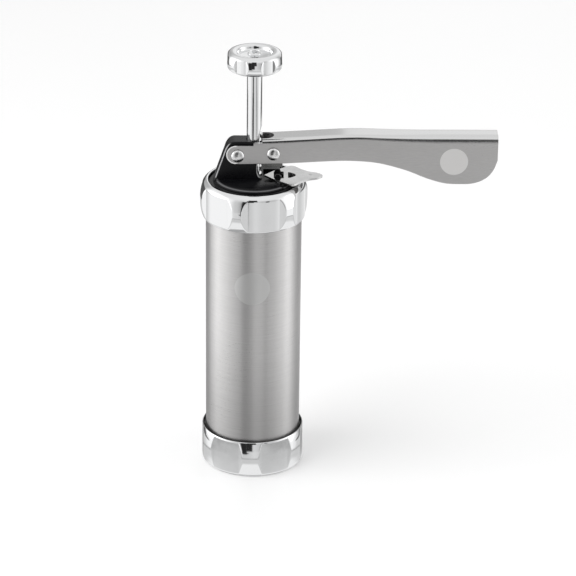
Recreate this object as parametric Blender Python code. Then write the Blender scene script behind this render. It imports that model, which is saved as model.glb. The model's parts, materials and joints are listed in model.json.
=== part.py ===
"""Lever-action cookie press: barrel, two screw collars, toothed rod with piston, lever and pawls.

The origin is on the barrel's axis at the foot of the lower collar. +Z is up the barrel and
+X is the way the lever's handle points. Lengths below are in millimetres times MM.
"""
import math

import bmesh
import bpy
from mathutils import Matrix, Vector

MM = 0.001
GAP = 0.3 * MM            # running gap between neighbouring pieces
ROUND = 40                # sides of a medium round piece

# Barrel: a plain stainless tube
BARREL_R = 27.0 * MM
BARREL_WALL = 0.8 * MM
BARREL_BOTTOM = 3.6 * MM
BARREL_TOP = 168.2 * MM

# Screw collars: each has six shallow finger scallops
SCALLOPS = 6
COLLAR_BORE_R = 27.3 * MM
LOWER_TOP = 21.7 * MM
LOWER_LIP = 0.9 * MM               # thickness of the lip that holds the disc up
FOOT_BORE_R = 23.6 * MM            # the dough's way out through that lip
LOWER_SCALLOP_R = 29.05 * MM
LOWER_SCALLOP_AT = -62.2          # degrees from +X, the middle of one scallop
LOWER_SCALLOP = (16.6, 24.4)      # degrees each side: the floor's edge, the ridge's edge
UPPER_BOTTOM = 151.8 * MM
UPPER_TOP = 173.6 * MM
UPPER_SCALLOP_R = 28.9 * MM
UPPER_SCALLOP_AT = -78.5
UPPER_SCALLOP = (18.5, 25.5)
SCALLOP_RISE = 1.6 * MM           # how far a scallop's side climbs between those edges

# Forming disc held in the lower collar
DISC_R = 26.4 * MM
DISC_BOTTOM = 1.2 * MM
DISC_THICK = 0.8 * MM
DISC_PETALS = 16
PETAL_RING_R = 13.5 * MM

# Head: moulded cap with an upright bracket for the lever
HEAD_TOP = 175.1 * MM
BRACKET_HALF = 5.6 * MM
BRACKET_TOP = 197.3 * MM
BRACKET_FRONT = 1.9 * MM
ROD_BORE_R = 4.55 * MM
POCKET_FLOOR = 173.2 * MM
WELL_FLOOR = 170.6 * MM

# Lever: a pressed channel, open below
LEVER_HALF = 7.0 * MM
LEVER_THICK = 1.1 * MM
LEVER_END = 135.3 * MM
LEVER_PIVOT = (-9.1 * MM, 189.6 * MM)       # x, z
PAWL_PIVOT = (10.7 * MM, 190.9 * MM)
SLOT_END = 11.0 * MM
SLOT_HALF = 4.75 * MM
WEB_START = 4.5 * MM

# Rivets
RIVET_R = 2.0 * MM
RIVET_HEAD_R = 3.65 * MM
RIVET_HEAD_H = 1.8 * MM

# Release plate, its hinge pin and spring
PLATE_BOTTOM = 174.5 * MM
PLATE_THICK = 1.1 * MM
RELEASE_PIVOT = (13.5 * MM, 173.1 * MM)
PIN_R = 0.95 * MM

# Rod, with ratchet teeth down its +X side
ROD_R = 4.23 * MM
ROD_SHOULDER = 50.8 * MM
ROD_TOP = 242.2 * MM
TOOTH_PITCH = 4.0 * MM
TOOTH_TOP = 205.0 * MM
TOOTH_COUNT = 36
TOOTH_ROOT_X = 2.9 * MM
SPIGOT_R = 2.9 * MM
SPIGOT_BOTTOM = 40.3 * MM

# Knob
KNOB_R = 15.8 * MM
KNOB_BOTTOM = 238.5 * MM
KNOB_TOP = 249.0 * MM
KNOB_SCALLOP_R = 14.9 * MM
KNOB_SCALLOP_AT = -60.0
KNOB_SCALLOP = (11.0, 22.0)
SCREW_HEAD_R = 4.0 * MM

# Piston
PISTON_R = 25.75 * MM
PISTON_BOTTOM = 41.0 * MM
HUB_TOP = 50.5 * MM

SHARP = math.radians(32.0)


# ---------------------------------------------------------------- helpers

def clear_scene():
    for old in list(bpy.data.objects):
        bpy.data.objects.remove(old, do_unlink=True)


def make_material(name, colour, roughness, metallic):
    mat = bpy.data.materials.new(name)
    mat.use_nodes = True
    shader = mat.node_tree.nodes["Principled BSDF"]
    shader.inputs["Base Color"].default_value = (*colour, 1.0)
    shader.inputs["Roughness"].default_value = roughness
    shader.inputs["Metallic"].default_value = metallic
    return mat


def finish_object(name, bm, mat=None):
    """Turn a bmesh into an object with outward faces and smooth rounds."""
    bmesh.ops.recalc_face_normals(bm, faces=bm.faces)
    mesh = bpy.data.meshes.new(name)
    bm.to_mesh(mesh)
    bm.free()
    mesh.shade_smooth()
    mesh.set_sharp_from_angle(angle=SHARP)
    if mat:
        mesh.materials.append(mat)
    obj = bpy.data.objects.new(name, mesh)
    bpy.context.scene.collection.objects.link(obj)
    return obj


def joint_empty(name, place):
    empty = bpy.data.objects.new(name, None)
    empty.location = place
    bpy.context.scene.collection.objects.link(empty)
    return empty


def hang_on(empty, *objects):
    """Parent objects modelled in world coordinates to a joint's empty."""
    for obj in objects:
        obj.data.transform(Matrix.Translation(-empty.location))
        obj.parent = empty
        for mod in obj.modifiers:
            if mod.type == "BOOLEAN" and mod.object.parent is None:
                hang_on(empty, mod.object)


def boolean(obj, tool, operation="DIFFERENCE"):
    """Cut or join one object with another, which stays in the file as a hidden guide."""
    tool.hide_render = True
    tool.display_type = "WIRE"
    mod = obj.modifiers.new(tool.name, "BOOLEAN")
    mod.operation = operation
    mod.object = tool


def even_angles(count):
    return [2.0 * math.pi * i / count for i in range(count)]


def scallop_angles(centre, flat, edge):
    """Angles round a fluted piece, with a station at each corner of each scallop."""
    pitch = 360.0 / SCALLOPS
    steps = (-pitch / 2, -edge, -(flat + edge) / 2, -flat, -flat / 2, 0.0,
             flat / 2, flat, (flat + edge) / 2, edge)
    return [math.radians(centre + k * pitch + s) for k in range(SCALLOPS) for s in steps]


def scallop_reach(angle, centre, flat, edge, floor, rise):
    """The radius that a scallop allows at this angle: its floor, then its sloping side."""
    pitch = 360.0 / SCALLOPS
    off = abs((math.degrees(angle) - centre + pitch / 2) % pitch - pitch / 2)
    return floor + rise * max(0.0, (off - flat) / (edge - flat))


def turned(profile, angles, radius=None, axis_matrix=None):
    """Revolve a closed outline of (r, z) points, or one that starts and ends on the axis."""
    bm = bmesh.new()
    columns = []
    on_axis = {}
    for angle in angles:
        column = []
        for i, (r, z) in enumerate(profile):
            if r < 1e-7:
                if i not in on_axis:
                    on_axis[i] = bm.verts.new((0.0, 0.0, z))
                column.append(on_axis[i])
                continue
            rr = radius(angle, r, z) if radius else r
            column.append(bm.verts.new((rr * math.cos(angle), rr * math.sin(angle), z)))
        columns.append(column)
    closed = profile[0][0] > 1e-7
    count = len(profile)
    for a, b in zip(columns, columns[1:] + columns[:1]):
        for i in range(count if closed else count - 1):
            j = (i + 1) % count
            corners = []
            for vert in (a[i], b[i], b[j], a[j]):
                if vert not in corners:
                    corners.append(vert)
            if len(corners) > 2:
                bm.faces.new(corners)
    if axis_matrix:
        bm.transform(axis_matrix)
    return bm


def prism(outline, low, high, axis="Y"):
    """Extrude a closed outline: (x, z) points along Y, or (x, y) points along Z."""
    bm = bmesh.new()
    rings = []
    for level in (low, high):
        if axis == "Y":
            rings.append([bm.verts.new((u, level, v)) for u, v in outline])
        else:
            rings.append([bm.verts.new((u, v, level)) for u, v in outline])
    bm.faces.new(rings[0])
    bm.faces.new(list(reversed(rings[1])))
    count = len(outline)
    for i in range(count):
        j = (i + 1) % count
        bm.faces.new((rings[0][i], rings[1][i], rings[1][j], rings[0][j]))
    return bm


def block(x0, x1, y0, y1, z0, z1):
    return prism([(x0, y0), (x1, y0), (x1, y1), (x0, y1)], z0, z1, axis="Z")


def arc(cx, cy, r, start, end, steps):
    """Points on an arc between two angles in degrees, both ends included."""
    points = []
    for i in range(steps + 1):
        a = math.radians(start + (end - start) * i / steps)
        points.append((cx + r * math.cos(a), cy + r * math.sin(a)))
    return points


def cross_cylinder(name, r, half, centre, sides=20):
    """A cylinder along Y, centred on the XZ point."""
    points = arc(centre[0], centre[1], r, 0.0, 360.0, sides)[:-1]
    return finish_object(name, prism(points, -half, half))


def scaled(points):
    return [(a * MM, b * MM) for a, b in points]


def smooth_value(points, x):
    """Height of a smooth curve through a short list of (x, height) points."""
    if x <= points[0][0]:
        return points[0][1]
    for i in range(len(points) - 1):
        x1, y1 = points[i]
        x2, y2 = points[i + 1]
        if x <= x2:
            x0, y0 = points[max(i - 1, 0)]
            x3, y3 = points[min(i + 2, len(points) - 1)]
            span = x2 - x1
            m1 = (y2 - y0) / (x2 - x0) * span
            m2 = (y3 - y1) / (x3 - x1) * span
            t = (x - x1) / span
            return ((2 * t**3 - 3 * t**2 + 1) * y1 + (t**3 - 2 * t**2 + t) * m1
                    + (-2 * t**3 + 3 * t**2) * y2 + (t**3 - t**2) * m2)
    return points[-1][1]


def wire(points, r, sides=5):
    """A round wire along a list of points, with flat ends."""
    bm = bmesh.new()
    rings = []
    side = Vector((0.0, 1.0, 0.0))
    for i, here in enumerate(points):
        ahead = points[min(i + 1, len(points) - 1)] - points[max(i - 1, 0)]
        ahead.normalize()
        side = (side - ahead * side.dot(ahead)).normalized()
        other = ahead.cross(side)
        ring = []
        for k in range(sides):
            a = 2.0 * math.pi * k / sides
            ring.append(bm.verts.new(here + (side * math.cos(a) + other * math.sin(a)) * r))
        rings.append(ring)
    for a, b in zip(rings, rings[1:]):
        for k in range(sides):
            j = (k + 1) % sides
            bm.faces.new((a[k], a[j], b[j], b[k]))
    bm.faces.new(rings[0])
    bm.faces.new(list(reversed(rings[-1])))
    return bm


def torsion_coil(centre, r, half, turns, first_leg, last_leg, start=0.0, steps=10):
    """Coil about a Y axis through centre (x, z), with a straight leg at each end."""
    points = [Vector((first_leg[0], -half, first_leg[1]))]
    total = int(turns * steps)
    for i in range(total + 1):
        a = math.radians(start) + 2.0 * math.pi * i / steps
        y = -half + 2.0 * half * i / total
        points.append(Vector((centre[0] + r * math.cos(a), y, centre[1] + r * math.sin(a))))
    points.append(Vector((last_leg[0], half, last_leg[1])))
    return points


# ---------------------------------------------------------------- barrel and collars

def build_barrel(mat):
    inner = BARREL_R - BARREL_WALL
    edge = 0.25 * MM
    profile = [
        (inner, BARREL_BOTTOM), (BARREL_R - edge, BARREL_BOTTOM),
        (BARREL_R, BARREL_BOTTOM + edge), (BARREL_R, BARREL_TOP - edge),
        (BARREL_R - edge, BARREL_TOP), (inner, BARREL_TOP),
    ]
    return finish_object("barrel", turned(profile, even_angles(64)), mat)


def build_upper_collar(mat):
    outer = scaled([
        (29.0, 152.8), (29.75, 155.2), (30.25, 159.0), (30.4, 163.0), (30.2, 166.4),
        (29.5, 169.6), (28.5, 171.7), (27.3, 173.0),
    ])
    lip = scaled([(25.75, 173.3), (25.75, 170.5)])
    outline = [(COLLAR_BORE_R, UPPER_BOTTOM), (28.4 * MM, UPPER_BOTTOM)] + outer
    outline += [(26.4 * MM, UPPER_TOP)] + lip + [(COLLAR_BORE_R, lip[-1][1])]

    def radius(angle, r, z):
        return min(r, scallop_reach(angle, UPPER_SCALLOP_AT, *UPPER_SCALLOP,
                                    UPPER_SCALLOP_R, SCALLOP_RISE))

    angles = scallop_angles(UPPER_SCALLOP_AT, *UPPER_SCALLOP)
    return finish_object("upper_collar", turned(outline, angles, radius), mat)


def build_lower_collar(mat):
    outer = scaled([
        (28.4, 0.0), (28.95, 0.55), (29.35, 3.0), (29.85, 7.5), (30.0, 11.5), (29.85, 16.0),
        (29.35, 20.0), (29.05, 21.3),
    ])
    mouth = scaled([(28.5, 21.6), (28.3, 19.4)])
    outline = [(FOOT_BORE_R, 0.0)] + outer + [(28.75 * MM, LOWER_TOP)] + mouth
    outline += [(COLLAR_BORE_R, 17.2 * MM), (COLLAR_BORE_R, LOWER_LIP)]
    outline += [(FOOT_BORE_R + 0.6 * MM, LOWER_LIP)]

    def radius(angle, r, z):
        return min(r, scallop_reach(angle, LOWER_SCALLOP_AT, *LOWER_SCALLOP,
                                    LOWER_SCALLOP_R, SCALLOP_RISE))

    angles = scallop_angles(LOWER_SCALLOP_AT, *LOWER_SCALLOP)
    return finish_object("lower_collar", turned(outline, angles, radius), mat)


def petal_cutter():
    """A ring of diamond-shaped holes for the dough, as one cutter."""
    bm = bmesh.new()
    low = DISC_BOTTOM - 1.0 * MM
    high = DISC_BOTTOM + 4.0 * MM
    shape = scaled([(-4.2, 0.0), (0.4, -1.5), (4.2, 0.0), (0.4, 1.5)])
    for angle in even_angles(DISC_PETALS):
        rings = []
        for level in (low, high):
            ring = []
            for u, v in shape:
                r = PETAL_RING_R + u
                ring.append(bm.verts.new((r * math.cos(angle) - v * math.sin(angle),
                                          r * math.sin(angle) + v * math.cos(angle), level)))
            rings.append(ring)
        bm.faces.new(rings[0])
        bm.faces.new(list(reversed(rings[1])))
        for i in range(4):
            j = (i + 1) % 4
            bm.faces.new((rings[0][i], rings[1][i], rings[1][j], rings[0][j]))
    return finish_object("petal_cutter", bm)


def build_forming_disc(mat):
    top = DISC_BOTTOM + DISC_THICK
    rim = 1.1 * MM
    profile = [
        (0.0, DISC_BOTTOM), (DISC_R, DISC_BOTTOM), (DISC_R, top + rim),
        (DISC_R - 1.0 * MM, top + rim), (DISC_R - 1.6 * MM, top), (0.0, top),
    ]
    disc = finish_object("forming_disc", turned(profile, even_angles(ROUND)), mat)
    boolean(disc, petal_cutter())
    return disc


# ---------------------------------------------------------------- head and lever

def bracket_outline():
    left = scaled([(-22.0, 173.0), (-22.0, 175.3), (-15.9, 193.2)])
    crown = [(x * MM, z * MM) for x, z in arc(-10.7, 192.3, 5.0, 155.0, 90.0, 5)]
    front = [
        (BRACKET_FRONT, BRACKET_TOP), (BRACKET_FRONT, 179.0 * MM),
        (2.6 * MM, 177.0 * MM), (4.4 * MM, 175.6 * MM), (4.4 * MM, 173.0 * MM),
    ]
    return left + crown + front


def build_head(mat):
    boss = scaled([(8.0, 160.0), (8.6, 168.0)])
    skirt = scaled([(23.4, 168.0), (23.6, 163.5), (25.5, 163.5), (25.6, 168.5)])
    rim = scaled([(26.9, 168.5), (26.9, 170.2), (25.3, 170.2), (25.2, 171.8), (24.5, 172.4),
                  (24.2, 173.3), (23.4, 174.4), (22.3, 174.95)])
    outline = [(ROD_BORE_R, 160.0 * MM)] + boss + skirt + rim
    outline += [(21.2 * MM, HEAD_TOP), (ROD_BORE_R, HEAD_TOP)]
    head = finish_object("head", turned(outline, even_angles(ROUND)), mat)

    bracket_bm = prism(bracket_outline(), -BRACKET_HALF, BRACKET_HALF)
    boolean(head, finish_object("bracket_guide", bracket_bm), "UNION")

    bore = [(0.0, 158.0 * MM), (ROD_BORE_R, 158.0 * MM), (ROD_BORE_R, 200.0 * MM),
            (0.0, 200.0 * MM)]
    boolean(head, finish_object("rod_bore_cutter", turned(bore, even_angles(32))))

    pocket = block(5.1 * MM, 30.0 * MM, -9.9 * MM, 9.9 * MM, POCKET_FLOOR, 178.0 * MM)
    boolean(head, finish_object("plate_pocket_cutter", pocket))
    shoulder = block(14.6 * MM, 30.0 * MM, -14.9 * MM, 14.9 * MM, POCKET_FLOOR, 178.0 * MM)
    boolean(head, finish_object("plate_shoulder_cutter", shoulder))
    well = block(10.4 * MM, 18.6 * MM, -7.0 * MM, 7.0 * MM, WELL_FLOOR, 178.0 * MM)
    boolean(head, finish_object("hinge_well_cutter", well))

    lug = scaled([(11.4, 170.0), (15.6, 170.0), (15.6, 174.6), (14.4, 177.6),
                  (12.0, 177.6), (11.4, 176.2)])
    for name, side in (("near", -1.0), ("far", 1.0)):
        low, high = sorted((side * 3.4 * MM, side * 4.8 * MM))
        boolean(head, finish_object(f"hinge_lug_{name}_guide", prism(lug, low, high)), "UNION")
    boolean(head, cross_cylinder("hinge_pin_hole_cutter", PIN_R + GAP, 6.0 * MM, RELEASE_PIVOT, 16))
    boolean(head, cross_cylinder("lever_pin_hole_cutter", RIVET_R + GAP, 8.0 * MM, LEVER_PIVOT))
    return head


LEVER_UNDERSIDE = [
    (-18.0, 184.4), (-9.2, 184.5), (16.0, 185.15), (47.7, 186.95), (61.0, 186.65),
    (71.0, 185.35), (85.1, 181.35), (96.0, 176.9), (106.0, 174.0), (115.0, 173.5),
    (122.7, 174.1), (129.2, 177.1), (133.2, 181.9), (LEVER_END / MM, 187.6),
]
LEVER_CREST = [
    (-18.0, 198.9), (5.0, 199.25), (25.0, 200.35), (47.5, 201.8), (58.5, 202.1),
    (72.0, 201.9), (86.0, 201.8), (103.0, 201.95), (LEVER_END / MM, 202.05),
]


def lever_section(x):
    """The channel's outline at one station: over the outside, then back along the inside."""
    low = smooth_value(LEVER_UNDERSIDE, x / MM) * MM
    top = smooth_value(LEVER_CREST, x / MM) * MM
    grip = min(1.0, max(0.0, (x / MM - 60.0) / 40.0))
    corner = (2.6 + 1.6 * grip) * MM
    inner = LEVER_HALF - LEVER_THICK
    mid_y = LEVER_HALF - corner
    outside = [(-LEVER_HALF, low)]
    outside += arc(-mid_y, top - corner, corner, 180.0, 90.0, 4)
    outside += arc(mid_y, top - corner, corner, 90.0, 0.0, 4)
    outside += [(LEVER_HALF, low)]
    inside = [(inner, low)]
    inside += arc(mid_y, top - corner, corner - LEVER_THICK, 0.0, 90.0, 4)
    inside += arc(-mid_y, top - corner, corner - LEVER_THICK, 90.0, 180.0, 4)
    inside += [(-inner, low)]
    return outside + inside


def lever_stations():
    plain = [-17.0, 0.0, 15.0, 25.0, 36.0, 47.5, 55.0, 62.0, 69.0, 76.0, 82.0, 88.0, 94.0,
             100.0, 106.0, 112.0, 118.0, 123.0, 127.0, 130.2, 132.7, 134.3]
    return [x * MM for x in plain] + [LEVER_END]


def build_lever(mat):
    bm = bmesh.new()
    rings = []
    for x in lever_stations():
        rings.append([bm.verts.new((x, y, z)) for y, z in lever_section(x)])
    count = len(rings[0])
    for a, b in zip(rings, rings[1:]):
        for i in range(count):
            j = (i + 1) % count
            bm.faces.new((a[i], b[i], b[j], a[j]))
    bm.faces.new(rings[0])
    bm.faces.new(list(reversed(rings[-1])))
    bmesh.ops.triangulate(bm, faces=[f for f in bm.faces if len(f.verts) > 4])
    lever = finish_object("lever", bm, mat)

    # The two cheeks round the pivot stand lower than the web and end in half rounds.
    rear = arc(-10.1, 190.2, 5.4, 90.0, 270.0, 12)
    trim = [(WEB_START / MM, 215.0), (WEB_START / MM, 197.2), (-0.4, 197.2), (-0.4, 195.6)]
    trim += rear + [(-10.1, 150.0), (-40.0, 150.0), (-40.0, 215.0)]
    boolean(lever, finish_object("cheek_cutter", prism(scaled(trim), -12.0 * MM, 12.0 * MM)))

    slot = [(0.0, -SLOT_HALF)]
    slot += arc(SLOT_END - SLOT_HALF, 0.0, SLOT_HALF, -90.0, 90.0, 12)
    slot += [(0.0, SLOT_HALF)]
    boolean(lever, finish_object("rod_slot_cutter", prism(slot, 196.5 * MM, 215.0 * MM, "Z")))
    for name, place in (("pivot", LEVER_PIVOT), ("pawl", PAWL_PIVOT)):
        cutter = cross_cylinder(f"{name}_hole_cutter", RIVET_R + GAP, 12.0 * MM, place)
        boolean(lever, cutter)
    return lever


def build_rivet(name, place, mat):
    """A rivet with a domed head at each end, along Y."""
    seat = LEVER_HALF + GAP
    dome = []
    for i in range(6):
        a = math.radians(90.0 * i / 5)
        dome.append((RIVET_HEAD_R * math.cos(a), seat + RIVET_HEAD_H * math.sin(a)))
    dome[-1] = (0.0, seat + RIVET_HEAD_H)
    upper = [(RIVET_R, seat)] + dome
    lower = [(r, -h) for r, h in reversed(upper)]
    turn = Matrix.Translation((place[0], 0.0, place[1])) @ Matrix.Rotation(-math.pi / 2, 4, "X")
    return finish_object(name, turned(lower + upper, even_angles(20), axis_matrix=turn), mat)


# ---------------------------------------------------------------- pawls

def build_drive_pawl(mat):
    """A bent plate on the lever's second rivet: two cheeks, and a web that meets the teeth."""
    eye = arc(PAWL_PIVOT[0] / MM, PAWL_PIVOT[1] / MM, 4.2, 0.0, 180.0, 10)
    outline = scaled([(4.75, 183.1), (5.6, 182.4), (15.8, 182.4), (15.8, 184.8)] + eye
                     + [(4.6, 185.4)])
    pawl = finish_object("drive_pawl", prism(outline, -5.4 * MM, 5.4 * MM), mat)
    hollow = block(0.0, 20.0 * MM, -4.4 * MM, 4.4 * MM, 183.6 * MM, 200.0 * MM)
    boolean(pawl, finish_object("pawl_hollow_cutter", hollow))
    boolean(pawl, cross_cylinder("pawl_eye_cutter", RIVET_R + GAP, 8.0 * MM, PAWL_PIVOT))
    return pawl


def build_drive_spring(mat):
    x, z = PAWL_PIVOT
    r = 2.85 * MM
    points = torsion_coil((x, z), r, 1.9 * MM, 4.75, (x + 6.0 * MM, z + r),
                          (x - 0.2 * MM, z - r - 2.0 * MM), start=90.0)
    return finish_object("drive_pawl_spring", wire(points, 0.35 * MM), mat)


def plate_outline():
    """Release plate seen from above: a pointed pawl, two shoulders and a thumb tab."""
    half = [(5.8, 0.0), (8.4, 3.1), (11.0, 6.2), (13.6, 8.5), (18.4, 12.7), (19.8, 13.7), (21.2, 14.0),
            (22.6, 13.5), (24.2, 11.9), (26.2, 9.4), (28.4, 7.3), (31.0, 5.5), (33.8, 4.4),
            (35.8, 3.5), (37.4, 1.9), (38.2, 0.7)]
    mirrored = [(x, -y) for x, y in reversed(half[1:])]
    return scaled(half + mirrored)


def build_release_plate(mat):
    top = PLATE_BOTTOM + PLATE_THICK
    plate = finish_object("release_plate", prism(plate_outline(), PLATE_BOTTOM, top, "Z"), mat)
    window = block(11.0 * MM, 16.6 * MM, -5.1 * MM, 5.1 * MM, 173.0 * MM, 178.0 * MM)
    boolean(plate, finish_object("plate_window_cutter", window))
    slot = scaled([(19.0, -4.3), (20.3, -4.0), (23.0, -1.5), (23.4, 0.0), (23.0, 1.5),
                   (20.3, 4.0), (19.0, 4.3)])
    slot_bm = prism(slot, 173.0 * MM, 178.0 * MM, "Z")
    boolean(plate, finish_object("plate_slot_cutter", slot_bm))
    ear = scaled([(11.6, 175.0)] + arc(13.5, 173.1, 1.9, 180.0, 360.0, 8) + [(15.4, 175.0)])
    for name, side in (("near", -1.0), ("far", 1.0)):
        low, high = sorted((side * 5.2 * MM, side * 6.2 * MM))
        boolean(plate, finish_object(f"plate_ear_{name}_guide", prism(ear, low, high)), "UNION")
    boolean(plate, cross_cylinder("plate_pin_hole_cutter", PIN_R + GAP, 8.0 * MM, RELEASE_PIVOT, 16))
    return plate


def build_release_pin(mat):
    pin = cross_cylinder("release_pin", PIN_R, 6.6 * MM, RELEASE_PIVOT, 16)
    pin.data.materials.append(mat)
    return pin


def build_release_spring(mat):
    x, z = RELEASE_PIVOT
    points = torsion_coil((x, z), 1.75 * MM, 2.5 * MM, 6.0, (11.1 * MM, 171.1 * MM),
                          (19.0 * MM, 173.9 * MM), start=-90.0)
    return finish_object("release_spring", wire(points, 0.35 * MM), mat)


# ---------------------------------------------------------------- rod, knob and piston

def rod_stations():
    """(radius, z, how far the +X side reaches) from the bottom end to the top hole's floor."""
    full = 2.0 * ROD_R
    chamfer = 0.5 * MM
    hole_r = RIVET_R + GAP
    rows = [(SPIGOT_R - chamfer, SPIGOT_BOTTOM, full), (SPIGOT_R, SPIGOT_BOTTOM + chamfer, full),
            (SPIGOT_R, ROD_SHOULDER, full), (ROD_R, ROD_SHOULDER + 0.01 * MM, full)]
    first = TOOTH_TOP - TOOTH_COUNT * TOOTH_PITCH
    for k in range(TOOTH_COUNT):
        ledge = first + k * TOOTH_PITCH
        rows.append((ROD_R, ledge, ROD_R))
        rows.append((ROD_R, ledge + 0.25 * MM, TOOTH_ROOT_X))
    rows.append((ROD_R, TOOTH_TOP, ROD_R))
    rows.append((ROD_R, ROD_TOP - chamfer, full))
    rows.append((ROD_R - chamfer, ROD_TOP, full))
    rows.append((hole_r, ROD_TOP, full))
    rows.append((hole_r, 229.0 * MM, full))
    return rows


def build_rod(mat):
    bm = bmesh.new()
    rings = []
    for r, z, reach in rod_stations():
        ring = []
        for a in even_angles(24):
            ring.append(bm.verts.new((min(r * math.cos(a), reach), r * math.sin(a), z)))
        rings.append(ring)
    for a, b in zip(rings, rings[1:]):
        for i in range(24):
            j = (i + 1) % 24
            bm.faces.new((a[i], a[j], b[j], b[i]))
    bm.faces.new(list(reversed(rings[0])))
    bm.faces.new(rings[-1])
    return finish_object("piston_rod", bm, mat)


def build_knob(mat):
    side = [(12.6 * MM, KNOB_BOTTOM), (14.9 * MM, 239.8 * MM), (KNOB_R, 243.2 * MM)]
    dish = scaled([(9.7, 248.2), (9.2, 246.3), (2.4, 246.3), (2.4, 242.6)])
    outline = [(ROD_BORE_R, KNOB_BOTTOM)] + side
    outline += scaled([(15.4, 246.6), (13.6, 248.8)]) + [(11.4 * MM, KNOB_TOP)]
    outline += dish + [(ROD_BORE_R, 242.6 * MM)]

    def radius(angle, r, z):
        return min(r, scallop_reach(angle, KNOB_SCALLOP_AT, *KNOB_SCALLOP, KNOB_SCALLOP_R,
                                    SCALLOP_RISE))

    angles = scallop_angles(KNOB_SCALLOP_AT, *KNOB_SCALLOP)
    return finish_object("knob", turned(outline, angles, radius), mat)


def build_knob_screw(mat):
    shank = scaled([(0.0, 231.0), (2.0, 231.0), (2.0, 246.6)])
    crown = scaled([(3.7, 248.2), (3.0, 248.6), (0.0, 248.6)])
    side = [(SCREW_HEAD_R, 246.6 * MM), (SCREW_HEAD_R, 247.6 * MM)]
    outline = shank + side + crown
    screw = finish_object("knob_screw", turned(outline, even_angles(24)), mat)
    socket = [(0.0, 247.0 * MM), (1.9 * MM, 247.0 * MM), (1.9 * MM, 250.0 * MM), (0.0, 250.0 * MM)]
    boolean(screw, finish_object("socket_cutter", turned(socket, even_angles(6))))
    return screw


def build_piston(mat):
    recess = scaled([(3.2, 45.0), (8.2, 45.0), (8.2, 41.6)])
    face = [(9.0 * MM, PISTON_BOTTOM), (24.8 * MM, PISTON_BOTTOM), (PISTON_R, 42.0 * MM)]
    groove = [(PISTON_R, 43.6 * MM), (23.6 * MM, 43.6 * MM), (23.6 * MM, 47.0 * MM),
              (PISTON_R, 47.0 * MM)]
    back = [(PISTON_R, 50.0 * MM)] + scaled([(24.4, 50.0), (23.0, 48.0), (9.5, 48.0)])
    hub = [(8.0 * MM, HUB_TOP), (3.2 * MM, HUB_TOP)]
    outline = recess + face + groove + back + hub
    return finish_object("piston", turned(outline, even_angles(ROUND)), mat)


def build_piston_seal(mat):
    section = arc(24.9, 45.3, 1.02, 0.0, 360.0, 6)[:-1]
    return finish_object("piston_seal", turned(scaled(section), even_angles(ROUND)), mat)


def build_piston_washer(mat):
    outline = scaled([(3.2, 44.0), (7.2, 44.0), (7.2, 44.7), (3.2, 44.7)])
    return finish_object("piston_washer", turned(outline, even_angles(24)), mat)


def build_piston_nut(mat):
    across = 5.75 * MM
    outline = [(across * math.cos(a), across * math.sin(a)) for a in even_angles(6)]
    nut = finish_object("piston_nut", prism(outline, 41.1 * MM, 43.7 * MM, "Z"), mat)
    bore = [(0.0, 39.0 * MM), (3.2 * MM, 39.0 * MM), (3.2 * MM, 46.0 * MM), (0.0, 46.0 * MM)]
    boolean(nut, finish_object("nut_bore_cutter", turned(bore, even_angles(20))))
    return nut


# ---------------------------------------------------------------- assembly

def build():
    clear_scene()
    brushed = make_material("brushed_steel", (0.60, 0.60, 0.60), 0.32, 1.0)
    satin = make_material("satin_steel", (0.55, 0.54, 0.54), 0.38, 1.0)
    chrome = make_material("chrome", (0.86, 0.87, 0.88), 0.06, 1.0)
    black = make_material("black_plastic", (0.012, 0.012, 0.014), 0.35, 0.0)
    bare = make_material("bare_steel", (0.62, 0.62, 0.62), 0.22, 1.0)
    spring = make_material("spring_steel", (0.50, 0.50, 0.51), 0.25, 1.0)
    white = make_material("white_plastic", (0.85, 0.85, 0.83), 0.45, 0.0)
    rubber = make_material("seal_rubber", (0.75, 0.75, 0.73), 0.60, 0.0)

    build_barrel(brushed)
    build_head(black)
    build_release_pin(bare)
    build_release_spring(spring)

    upper_axis = joint_empty("upper_collar_axis", (0.0, 0.0, UPPER_BOTTOM))
    hang_on(upper_axis, build_upper_collar(chrome))
    lower_axis = joint_empty("lower_collar_axis", (0.0, 0.0, 0.0))
    hang_on(lower_axis, build_lower_collar(chrome), build_forming_disc(bare))

    release_axis = joint_empty("release_plate_axis", (RELEASE_PIVOT[0], 0.0, RELEASE_PIVOT[1]))
    hang_on(release_axis, build_release_plate(bare))

    rod_axis = joint_empty("rod_axis", (0.0, 0.0, 0.0))
    hang_on(rod_axis, build_rod(chrome), build_knob(chrome), build_knob_screw(bare),
            build_piston(white), build_piston_seal(rubber), build_piston_washer(bare),
            build_piston_nut(bare))

    lever_axis = joint_empty("lever_axis", (LEVER_PIVOT[0], 0.0, LEVER_PIVOT[1]))
    hang_on(lever_axis, build_lever(satin), build_rivet("lever_rivet", LEVER_PIVOT, chrome),
            build_rivet("pawl_rivet", PAWL_PIVOT, chrome), build_drive_spring(spring))
    pawl_axis = joint_empty("drive_pawl_axis", (PAWL_PIVOT[0], 0.0, PAWL_PIVOT[1]))
    hang_on(pawl_axis, build_drive_pawl(bare))
    pawl_axis.parent = lever_axis
    pawl_axis.location = pawl_axis.location - lever_axis.location


build()
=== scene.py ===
"""Looks for the cookie press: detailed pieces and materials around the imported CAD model.

Units are metres in the model's own frame: origin on the barrel's axis at the foot, +Z up,
+X towards the handle's grip. MM turns millimetres into metres.
"""
import json
import math

import bmesh
import bpy
from mathutils import Matrix, Vector


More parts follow.
